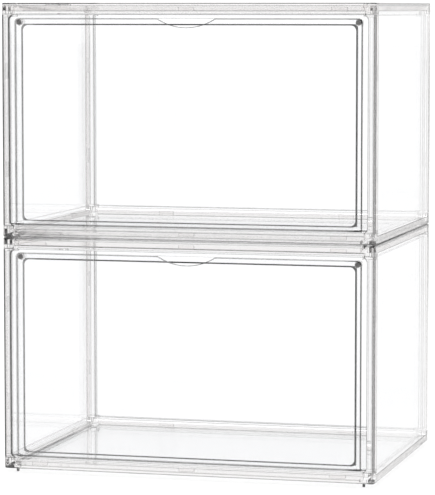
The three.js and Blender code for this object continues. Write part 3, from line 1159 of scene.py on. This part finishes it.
@dataclass(frozen=True)
class Door:
    """The drop-down door: a flat sheet with a finger notch and a half-round bottom edge."""

    corner_radius: float = 4.0
    foot_radius: float = 0.3  # of its lower corners
    edge_turn: float = 0.8
    edge_rings: int = 17
    notch_chord: float = 55.0
    notch_depth: float = 8.0
    notch_points: int = 45
    bore: float = 0.9
    bore_length: float = 7.2
    magnet_pocket: float = 2.8
    magnet_depth: float = 1.9
    magnet_turn: float = 0.15

    def surface(self, tier: Tier) -> Surface:
        """The door's skin, from its front face round its edges to its back face.

        With h from -90 to 90 degrees, a ring lies at r sin h from the middle plane. Its bottom
        edge is r cos h below the hinge axis, and its other edges are inset by a quarter circle
        near both faces. The notch is a circle whose centre is above the door's top edge, and a
        ring's inset adds to its radius.

        Args:
            tier: the box that it belongs to.

        Returns:
            One closed shell, in the box's own millimetres.
        """
        low, high = local_box(tier, "door_panel")
        half, top = high[0], high[2]
        centre_y, r = (low[1] + high[1]) / 2, (high[1] - low[1]) / 2
        h = np.linspace(-math.pi / 2, math.pi / 2, self.edge_rings)
        y = centre_y + r * np.sin(h)
        bottom = low[2] + r * (1 - np.cos(h))
        over = np.clip(np.abs(r * np.sin(h)) - (r - self.edge_turn), 0, None)
        inset = self.edge_turn - np.sqrt(self.edge_turn**2 - over**2)
        corner = self.corner_points(self.corner_radius - inset)
        foot = self.corner_points(np.full_like(inset, self.foot_radius))
        half_x, top_z = (half - inset)[:, None], (top - inset)[:, None]
        right_x = np.concatenate([half_x - foot[..., 0], half_x - corner[:, ::-1, 0]], axis=1)
        lower_z, upper_z = bottom[:, None] + foot[..., 1], top_z - corner[:, ::-1, 1]
        right_z = np.concatenate([lower_z, upper_z], axis=1)
        notch_x, notch_z = self.notch(top, inset)
        x = np.concatenate([right_x, notch_x, -right_x[:, ::-1]], axis=1)
        z = np.concatenate([right_z, notch_z, right_z[:, ::-1]], axis=1)
        points = np.stack([x, np.broadcast_to(y[:, None], x.shape), z], axis=-1)
        # The door's rounded edges are tinted grey as painted shade.
        spans = np.where(np.maximum(over[:-1], over[1:]) > 0, Face.TURN.value, Face.EDGE.value)
        return Surface(points, np.append(spans, Face.TURN.value))

    def corner_points(self, radius: np.ndarray, points: int = 9) -> np.ndarray:
        """Quarter circles as insets from their corners: r (1 - sin a) and r (1 - cos a)."""
        a = np.linspace(0.0, math.pi / 2, points)
        return radius[:, None, None] * np.stack([1 - np.sin(a), 1 - np.cos(a)], axis=-1)

    def notch(self, top: float, inset: np.ndarray) -> tuple[np.ndarray, np.ndarray]:
        """The finger notch's arc for each ring, from right to left.

        The circle through the chord's ends and the notch's foot has the radius
        R = (c^2 + d^2) / 2d with half chord c and depth d. For an inset s the radius is R + s.

        Args:
            top: height of the door's top edge.
            inset: (K,) inset of each ring.

        Returns:
            (K, notch_points) places across, and the heights there.
        """
        half_chord = self.notch_chord / 2
        radius = (half_chord**2 + self.notch_depth**2) / (2 * self.notch_depth)
        centre = top - self.notch_depth + radius
        ring_radius = radius + inset
        reach = np.sqrt(ring_radius**2 - (centre - (top - inset)) ** 2)
        x = reach[:, None] * np.linspace(1.0, -1.0, self.notch_points)
        return x, centre - np.sqrt(ring_radius[:, None] ** 2 - x**2)

    def build(self, tier: Tier, materials: list[Material]) -> None:
        """Make the door with its pin bores and magnet pockets, and put it on its hinge.

        Args:
            tier: the box that it belongs to.
            materials: its finishes, in the order of Face.
        """
        piece = make_object(f"{tier.name}_door_sheet", [self.surface(tier)], tier.shift, materials)
        low, high = local_box(tier, "door_panel")
        removed = []
        for side in Side:
            x, _, z = local_centre(tier, f"door_magnet_{side.word}")
            pocket = (high[1] - self.magnet_depth, high[1] + OVERRUN)
            removed.append(cylinder_y(self.magnet_pocket, x, pocket, z, self.magnet_turn))
            _, y, z = local_centre(tier, f"hinge_pin_{side.word}")
            reach = (high[0] - self.bore_length, high[0] + OVERRUN)
            ends = (side.value * reach[0], side.value * reach[1])
            removed.append(cylinder_x(self.bore, ends, y, z))
        join_shells(piece, removed, tier.shift, Join.CUT)
        settle(piece, f"{tier.name}_door_panel", tier.door_body)


@dataclass(frozen=True)
class HingePin:
    """A steel pin with rounded ends that carries one bottom corner of the door."""

    turn: float = 0.3

    def build(self, tier: Tier, side: Side, material: Material) -> None:
        """Make one pin where its node is.

        Args:
            tier: the box that it belongs to.
            side: which side it is on.
            material: its finish.
        """
        low, high = local_box(tier, f"hinge_pin_{side.word}")
        _, y, z = local_centre(tier, f"hinge_pin_{side.word}")
        surface = cylinder_x((high[1] - low[1]) / 2, (low[0], high[0]), y, z, self.turn)
        name = f"{tier.name}_pin_{side.word}"
        piece = make_object(name, [surface], tier.shift, [material], smooth=True)
        settle(piece, f"{tier.name}_hinge_pin_{side.word}", tier.door_body)


@dataclass(frozen=True)
class Magnet:
    """A nickel-plated disc magnet with a turned edge."""

    holder: Holder
    turn: float = 0.3

    def build(self, tier: Tier, side: Side, material: Material) -> None:
        """Make one magnet where its node is.

        Args:
            tier: the box that it belongs to.
            side: which side it is on.
            material: its finish.
        """
        node = f"{self.holder.value}_magnet_{side.word}"
        low, high = local_box(tier, node)
        x, _, z = local_centre(tier, node)
        surface = cylinder_y((high[0] - low[0]) / 2, x, (low[1], high[1]), z, self.turn)
        name = f"{tier.name}_{self.holder.value}_disc_{side.word}"
        piece = make_object(name, [surface], tier.shift, [material], smooth=True)
        body = tier.door_body if self.holder is Holder.DOOR else tier.body
        settle(piece, f"{tier.name}_{node}", body)


# ---------------------------------------------------------------------------
# Finishes
# ---------------------------------------------------------------------------


class NodeSheet:
    """A short way to add and link the nodes of one material or world."""

    def __init__(self, owner: Material | bpy.types.World) -> None:
        """Clear the owner's nodes and add its output.

        Args:
            owner: the material or the world to fill.
        """
        owner.use_nodes = True
        self.owner = owner
        self.tree = owner.node_tree
        self.tree.nodes.clear()
        is_world = isinstance(owner, bpy.types.World)
        self.output = self.add("OutputWorld" if is_world else "OutputMaterial")

    @classmethod
    def material(cls, name: str) -> "NodeSheet":
        """Start a new material."""
        return cls(bpy.data.materials.new(name))

    def add(self, kind: str, values: dict[str | int, object] | None = None,
            **settings: object) -> bpy.types.Node:
        """Add a node.

        Args:
            kind: its type, without the prefix that all shader nodes have.
            values: values of its sockets, by name or number.
            settings: its own properties.

        Returns:
            The node.
        """
        node = self.tree.nodes.new(f"ShaderNode{kind}")
        for key, value in settings.items():
            setattr(node, key, value)
        for socket, value in (values or {}).items():
            node.inputs[socket].default_value = value
        return node

    def link(self, source: Socket, target: Socket) -> None:
        """Link an output to an input."""
        self.tree.links.new(source, target)

    def math(self, operation: str, *terms: Socket | float) -> Socket:
        """A sum on sockets and numbers.

        Args:
            operation: what the Math node does.
            terms: what it does it with, in the order of its inputs.

        Returns:
            The result.
        """
        node = self.add("Math", operation=operation)
        for target, term in zip(node.inputs, terms):
            if isinstance(term, Socket):
                self.link(term, target)
            else:
                target.default_value = term
        return node.outputs[0]

    def mix(self, share: Socket, first: bpy.types.Node, second: bpy.types.Node) -> None:
        """Send two shaders to the output.

        Args:
            share: how much of the second one there is.
            first: one shader.
            second: the other one.
        """
        mix = self.add("MixShader")
        self.link(share, mix.inputs["Fac"])
        self.link(first.outputs[0], mix.inputs[1])
        self.link(second.outputs[0], mix.inputs[2])
        self.link(mix.outputs[0], self.output.inputs["Surface"])

    def axes(self, space: str = "Object") -> dict[str, Socket]:
        """The place as X, Y and Z in one of the texture spaces."""
        place, split = self.add("TexCoord"), self.add("SeparateXYZ")
        self.link(place.outputs[space], split.inputs["Vector"])
        return {axis: split.outputs[axis] for axis in "XYZ"}

    def of_sizes(self, operation: str, place: dict[str, Socket]) -> Socket:
        """The larger or the smaller of |x| and |y|, as the operation says."""
        return self.math(operation, *(self.math("ABSOLUTE", place[axis]) for axis in "XY"))

    def noise(self, scale: float, detail: float = 3.0, stretch: Triple = (1, 1, 1)) -> Socket:
        """Noise on Object coordinates.

        Args:
            scale: of the noise, to a metre.
            detail: how fine it gets.
            stretch: scale along each axis.

        Returns:
            Values about one half.
        """
        place = self.add("TexCoord")
        mapping = self.add("Mapping", {"Scale": stretch})
        noise = self.add("TexNoise", {"Scale": scale, "Detail": detail})
        self.link(place.outputs["Object"], mapping.inputs["Vector"])
        self.link(mapping.outputs["Vector"], noise.inputs["Vector"])
        return noise.outputs["Fac"]

    def span(self, source: Socket, result: Span, start: float = 0.3, end: float = 0.7) -> Socket:
        """Map a pattern to a range of values.

        Args:
            source: the pattern.
            result: the values at the start and at the end of the range.
            start: value of the pattern where the range starts.
            end: value of the pattern where it ends.

        Returns:
            The mapped pattern.
        """
        values = {"From Min": start, "From Max": end, "To Min": result[0], "To Max": result[1]}
        node = self.add("MapRange", values)
        self.link(source, node.inputs["Value"])
        return node.outputs["Result"]

    def bump(self, source: Socket, strength: float, distance: float) -> Socket:
        """A bump from a pattern.

        Args:
            source: the pattern.
            strength: how much of the bump is shown.
            distance: its height in metres.

        Returns:
            The bent normal.
        """
        node = self.add("Bump", {"Strength": strength, "Distance": distance})
        self.link(source, node.inputs["Height"])
        return node.outputs["Normal"]


# Painted shade of the narrow roundings: what their grey tint lets through, by place across the box
# in metres
LIGHT_PAINTED_SHADE_STOPS = ((-0.178, 0.15), (-0.171, 0.15), (-0.168, 0.55), (0.173, 0.55), (0.1755, 0.2))
DARK_PAINTED_SHADE_STOPS = (
    (-0.175, 0.12), (-0.171, 0.2), (-0.168, 0.45), (-0.152, 0.45),
    (-0.146, 0.13), (0.165, 0.13), (0.174, 0.45),
)
WALL_PAINTED_SHADE_STOPS = ((-0.18, 0.6), (0.18, 0.6))
DOOR_PAINTED_SHADE_STOPS = ((-0.15, 0.55), (0.15, 0.55), (0.164, 0.13))
NORMAL_GLOSS = 0.04  # share of light that a clear face reflects when seen square on
GRAZING_POWER = 5.0  # how steeply that share rises towards grazing angles


@dataclass(frozen=True)
class ClearSheet:
    """A polished clear sheet: what is behind it shows straight through, under a faint gloss.

    tint: what it lets through.
    roughness: range of the gloss over fine scuffs.
    """

    name: str
    tint: Colour = (0.985, 0.986, 0.988, 1)
    roughness: Span = (0.015, 0.07)

    def build(self) -> Material:
        """Mix a tinted see-through shader with a gloss that grows towards grazing angles.

        Returns:
            The material.
        """
        sheet = NodeSheet.material(self.name)
        through = sheet.add("BsdfTransparent")
        self.colour(sheet, through.inputs["Color"])
        gloss = sheet.add("BsdfGlossy", {"Color": (1, 1, 1, 1)})
        sheet.link(sheet.span(sheet.noise(60.0, 4.0), self.roughness), gloss.inputs["Roughness"])
        sheet.link(sheet.bump(sheet.noise(9.0, 2.0), 0.03, 0.002), gloss.inputs["Normal"])
        facing = sheet.add("LayerWeight", {"Blend": 0.5})
        steep = sheet.math("POWER", facing.outputs["Facing"], GRAZING_POWER)
        share = sheet.math("MULTIPLY_ADD", steep, 1.0 - NORMAL_GLOSS, NORMAL_GLOSS)
        sheet.mix(share, through, gloss)
        return sheet.owner

    def colour(self, sheet: NodeSheet, target: Socket) -> None:
        """Give the see-through shader its tint."""
        target.default_value = self.tint


@dataclass(frozen=True)
class PaintedShadeTurn(ClearSheet):
    """A narrow rounding with painted shade, which lets less through in some places across the box
    than in others.

    stops: pairs of a place across, in metres, and the share of light let through there, as painted
    shade.
    """

    stops: tuple[Span, ...] = ((0.0, 0.5),)
    reach: float = 0.2  # metres on either side that the stops cover

    def colour(self, sheet: NodeSheet, target: Socket) -> None:
        """Lay a ramp of greys across the box as painted shade, and drive the tint with it.

        Args:
            sheet: the material's nodes.
            target: the tint's socket.
        """
        ramp = sheet.add("ValToRGB")
        elements = ramp.color_ramp.elements
        while len(elements) < len(self.stops):
            elements.new(1.0)
        for element, (across, share) in zip(elements, self.stops):
            element.position = (across + self.reach) / (2 * self.reach)
            element.color = (share, share, share, 1.0)
        fraction = sheet.span(sheet.axes()["X"], (0.0, 1.0), -self.reach, self.reach)
        sheet.link(fraction, ramp.inputs["Fac"])
        sheet.link(ramp.outputs["Color"], target)


@dataclass(frozen=True)
class ClearEdge:
    """A thick section of the clear moulding, which bends what is behind it.

    tint: what it lets through.
    shadow: what its shadow lets through.
    bend: index of refraction of the plastic.
    roughness: its range over fine flow marks.
    """

    name: str
    tint: Colour = (0.978, 0.974, 0.973, 1)
    shadow: Colour = (0.97, 0.97, 0.975, 1)
    bend: float = 1.49
    roughness: Span = (0.01, 0.09)

    def build(self) -> Material:
        """Glass with faint flow marks, and a plain see-through shader where lamps shine through.

        Returns:
            The material.
        """
        sheet = NodeSheet.material(self.name)
        glass = sheet.add("BsdfGlass", {"Color": self.tint, "IOR": self.bend})
        sheet.link(sheet.span(sheet.noise(90.0, 4.0), self.roughness), glass.inputs["Roughness"])
        flow = sheet.noise(40.0, 3.0, (1, 1, 0.35))
        sheet.link(sheet.bump(flow, 0.08, 0.001), glass.inputs["Normal"])
        through = sheet.add("BsdfTransparent", {"Color": self.shadow})
        sheet.mix(sheet.add("LightPath").outputs["Is Shadow Ray"], glass, through)
        return sheet.owner


@dataclass(frozen=True)
class Plating:
    """A metal finish with fine lines and worn patches.

    light, dark: colours of the bare and the dull metal.
    roughness: its range.
    lines: stretch of the fine lines.
    patches: where in the pattern the dull metal ends and the bare metal starts.
    """

    name: str
    light: Colour
    dark: Colour
    roughness: Span
    lines: Triple
    patches: Span = (0.35, 0.7)

    def build(self) -> Material:
        """A metal whose colour and roughness follow two patterns.

        Returns:
            The material.
        """
        sheet = NodeSheet.material(self.name)
        metal = sheet.add("BsdfPrincipled", {"Metallic": 1.0})
        ramp = sheet.add("ValToRGB")
        stops = zip(ramp.color_ramp.elements, self.patches, (self.dark, self.light))
        for element, position, colour in stops:
            element.position = position
            element.color = colour
        sheet.link(sheet.noise(500.0, 4.0), ramp.inputs["Fac"])
        sheet.link(ramp.outputs["Color"], metal.inputs["Base Color"])
        fine = sheet.noise(1500.0, 2.0, self.lines)
        sheet.link(sheet.span(fine, self.roughness), metal.inputs["Roughness"])
        sheet.link(sheet.bump(fine, 0.15, 0.0001), metal.inputs["Normal"])
        sheet.link(metal.outputs[0], sheet.output.inputs["Surface"])
        return sheet.owner


# ---------------------------------------------------------------------------
# Studio
# ---------------------------------------------------------------------------


LAMP_ANGLE = math.radians(60)  # how wide the lamp looks from the floor


@dataclass(frozen=True)
class Studio:
    """A pale floor under a white tent, both darker to rays that the clear plastic has bent.

    bright, dark: of the tent along the level axes and between them, as bent rays see it.
    axis_edge, axis_full: how far along an axis a direction points where the tent starts to
        brighten and where it is bright.
    backdrop: of the tent where it is seen directly.
    lamp: of the sun-like lamp above.
    lane: half width of the floor's bright lanes along the axes, to their length.
    lane_edge: metres inside a lane where the floor is dark, and where it is bright, to bent rays.
    floor_glow: of the floor's own light, where it is seen directly.
    floor_paint: share of the lit paint in what is seen of the floor.
    floor_half: half the floor's width, in metres.
    floor_drop: how far the floor lies below the pegs, to its half width.
    paint, paint_roughness: of the floor.
    """

    bright: float = 1.05
    dark: float = 0.22
    axis_edge: float = 0.5
    axis_full: float = 0.88
    backdrop: float = 1.18
    lamp: float = 2.5
    lane: float = 0.6
    lane_edge: Span = (-0.7, -0.1)
    floor_glow: float = 1.0
    floor_paint: float = 0.2
    floor_half: float = 30.0
    floor_drop: float = 0.00001
    paint: Colour = (0.94, 0.94, 0.94, 1)
    paint_roughness: Span = (0.45, 0.6)

    def floor(self) -> None:
        """Lay the floor, as a grid of two parameters across and along."""
        u, v = np.meshgrid(np.linspace(-1, 1, 3), np.linspace(-1, 1, 3))
        points = np.stack([u, v, 0 * u - self.floor_drop], axis=-1) * self.floor_half
        index = np.arange(u.size).reshape(u.shape)
        corners = [index[:-1, :-1], index[:-1, 1:], index[1:, 1:], index[1:, :-1]]
        quads = np.stack(corners, axis=-1).reshape(-1, 4)
        mesh = bpy.data.meshes.new("floor")
        mesh.from_pydata(points.reshape(-1, 3).tolist(), [], quads.tolist())
        mesh.materials.append(self.floor_material())
        floor = bpy.data.objects.new("floor", mesh)
        bpy.context.scene.collection.objects.link(floor)

    def floor_material(self) -> Material:
        """A pale floor that glows, evenly where it is seen directly, and in lanes to other rays.

        Returns:
            The material.
        """
        sheet = NodeSheet.material("pale_floor")
        paint = sheet.add("BsdfPrincipled", {"Base Color": self.paint})
        sheet.link(sheet.span(sheet.noise(3.0), self.paint_roughness), paint.inputs["Roughness"])
        place = sheet.axes()
        lane = sheet.math("MULTIPLY", sheet.of_sizes("MAXIMUM", place), self.lane)
        inside = sheet.math("SUBTRACT", lane, sheet.of_sizes("MINIMUM", place))
        far = sheet.span(inside, (self.dark, 1.0), *self.lane_edge)
        seen = sheet.add("LightPath").outputs["Is Camera Ray"]
        level = sheet.add("Mix", {"B": self.floor_glow}, data_type="FLOAT")
        sheet.link(seen, level.inputs["Factor"])
        sheet.link(far, level.inputs["A"])
        glow = sheet.add("Emission", {"Color": (1, 1, 1, 1)})
        sheet.link(level.outputs["Result"], glow.inputs["Strength"])
        sheet.mix(sheet.math("MULTIPLY", seen, self.floor_paint), glow, paint)
        return sheet.owner

    def tent(self) -> None:
        """Set the world: white all round, but to bent rays bright only along the level axes."""
        world = bpy.data.worlds.new("tent")
        bpy.context.scene.world = world
        sheet = NodeSheet(world)
        lit, white = (sheet.add("Background", {"Color": (1, 1, 1, 1)}) for _ in range(2))
        path = sheet.add("LightPath")
        values = {
            "From Min": self.axis_edge, "From Max": self.axis_full,
            "To Min": self.dark, "To Max": self.bright,
        }
        ramp = sheet.add("MapRange", values, interpolation_type="SMOOTHSTEP")
        seen = path.outputs["Is Camera Ray"]
        lift = sheet.math("MULTIPLY_ADD", seen, self.backdrop - 1.0, 1.0)
        sheet.link(lift, white.inputs["Strength"])
        along = sheet.of_sizes("MAXIMUM", sheet.axes("Generated"))
        sheet.link(along, ramp.inputs["Value"])
        sheet.link(ramp.outputs["Result"], lit.inputs["Strength"])
        sheet.mix(path.outputs["Is Transmission Ray"], white, lit)

    def lamps(self) -> None:
        """Hang one broad, soft lamp high above the floor."""
        lamp = bpy.data.lights.new("top_lamp", "SUN")
        lamp.energy = self.lamp
        lamp.angle = LAMP_ANGLE
        holder = bpy.data.objects.new("top_lamp", lamp)
        bpy.context.scene.collection.objects.link(holder)

    def exposure(self) -> None:
        """Keep whites white and let rays pass through many clear faces."""
        scene = bpy.context.scene
        scene.view_settings.view_transform = "Standard"
        scene.cycles.max_bounces = 32
        scene.cycles.transmission_bounces = 32
        scene.cycles.transparent_max_bounces = 96
        scene.cycles.glossy_bounces = 8
        scene.cycles.use_denoising = True
        scene.cycles.sample_clamp_indirect = 4.0

    def build(self) -> None:
        """Set up floor, tent, lamp and exposure."""
        self.floor()
        self.tent()
        self.lamps()
        self.exposure()


@dataclass(frozen=True)
class Viewpoint:
    """The camera: a long lens to the right of the stack, turned to the left and a little down.

    place: in metres, from the middle of the stack's footprint.
    yaw, pitch: degrees to the left and downwards.
    lens, sensor: in millimetres.
    near: in metres, where its view starts.
    """

    place: Triple = (0.6809, -2.5702, 0.441)
    yaw: float = 14.948
    pitch: float = 5.015
    lens: float = 198.33
    sensor: float = 36.0
    near: float = 0.05

    def build(self) -> None:
        """Make the camera the scene's."""
        camera = bpy.data.cameras.new("camera")
        camera.lens = self.lens
        camera.sensor_width = self.sensor
        camera.clip_start = self.near
        holder = bpy.data.objects.new("camera", camera)
        yaw, pitch = math.radians(self.yaw), math.radians(self.pitch)
        holder.location = self.place
        holder.rotation_euler = (math.pi / 2 - pitch, 0.0, yaw)
        bpy.context.scene.collection.objects.link(holder)
        bpy.context.scene.camera = holder


# ---------------------------------------------------------------------------
# The stack
# ---------------------------------------------------------------------------


class ShoeBox:
    """One box of the stack, made of its mouldings, pins and magnets."""

    def __init__(self, level: Level) -> None:
        """Read the box's place from the frame.

        Args:
            level: which box it is.
        """
        self.tier = Tier.from_frame(level)
        self.base = Tray()
        self.cover = Tray(Rimmed.COVER, sheet=(0.0, 2.4))

    def build(self, moulding: list[Material], walls: list[Material], door: list[Material],
              steel: Material, nickel: Material) -> None:
        """Make every piece of the box.

        Args:
            moulding: materials of the tray, the cover and the front frame, in the order of Face.
            walls: materials of the side walls and the back wall.
            door: materials of the door.
            steel: finish of the pins.
            nickel: finish of the magnets.
        """
        tier = self.tier
        self.base.build(tier, moulding)
        self.cover.build(tier, moulding)
        FrontFrame().build(tier, moulding)
        BackWall().build(tier, walls)
        Door().build(tier, door)
        for side in Side:
            SideWall().build(tier, side, walls)
            HingePin().build(tier, side, steel)
            for holder in Holder:
                Magnet(holder).build(tier, side, nickel)


def main() -> None:
    """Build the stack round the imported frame, with its finishes, studio and camera."""
    logging.basicConfig(level=logging.INFO, format="%(name)s: %(message)s")
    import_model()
    Viewpoint().build()
    Studio().build()
    # The turn and dark materials paint shade on the roundings as grey tints.
    moulding = [
        ClearSheet("clear_sheet").build(),
        ClearEdge("clear_edge").build(),
        PaintedShadeTurn("clear_turn", stops=LIGHT_PAINTED_SHADE_STOPS).build(),
        PaintedShadeTurn("clear_dark", stops=DARK_PAINTED_SHADE_STOPS).build(),
    ]
    walls = [*moulding[:2], PaintedShadeTurn("wall_turn", stops=WALL_PAINTED_SHADE_STOPS).build(), moulding[3]]
    door = [
        ClearSheet("door_sheet").build(),
        ClearEdge("door_edge").build(),
        PaintedShadeTurn("door_turn", stops=DOOR_PAINTED_SHADE_STOPS).build(),
    ]
    steel = Plating(
        "pin_steel", light=(0.3, 0.3, 0.31, 1), dark=(0.12, 0.12, 0.125, 1),
        roughness=(0.2, 0.4), lines=(0.05, 1, 1),
    ).build()
    nickel = Plating(
        "magnet_nickel", light=(0.16, 0.155, 0.15, 1), dark=(0.05, 0.05, 0.05, 1),
        roughness=(0.25, 0.45), lines=(1, 1, 1),
    ).build()
    for level in Level:
        ShoeBox(level).build(moulding, walls, door, steel, nickel)


if __name__ == "__main__":
    main()
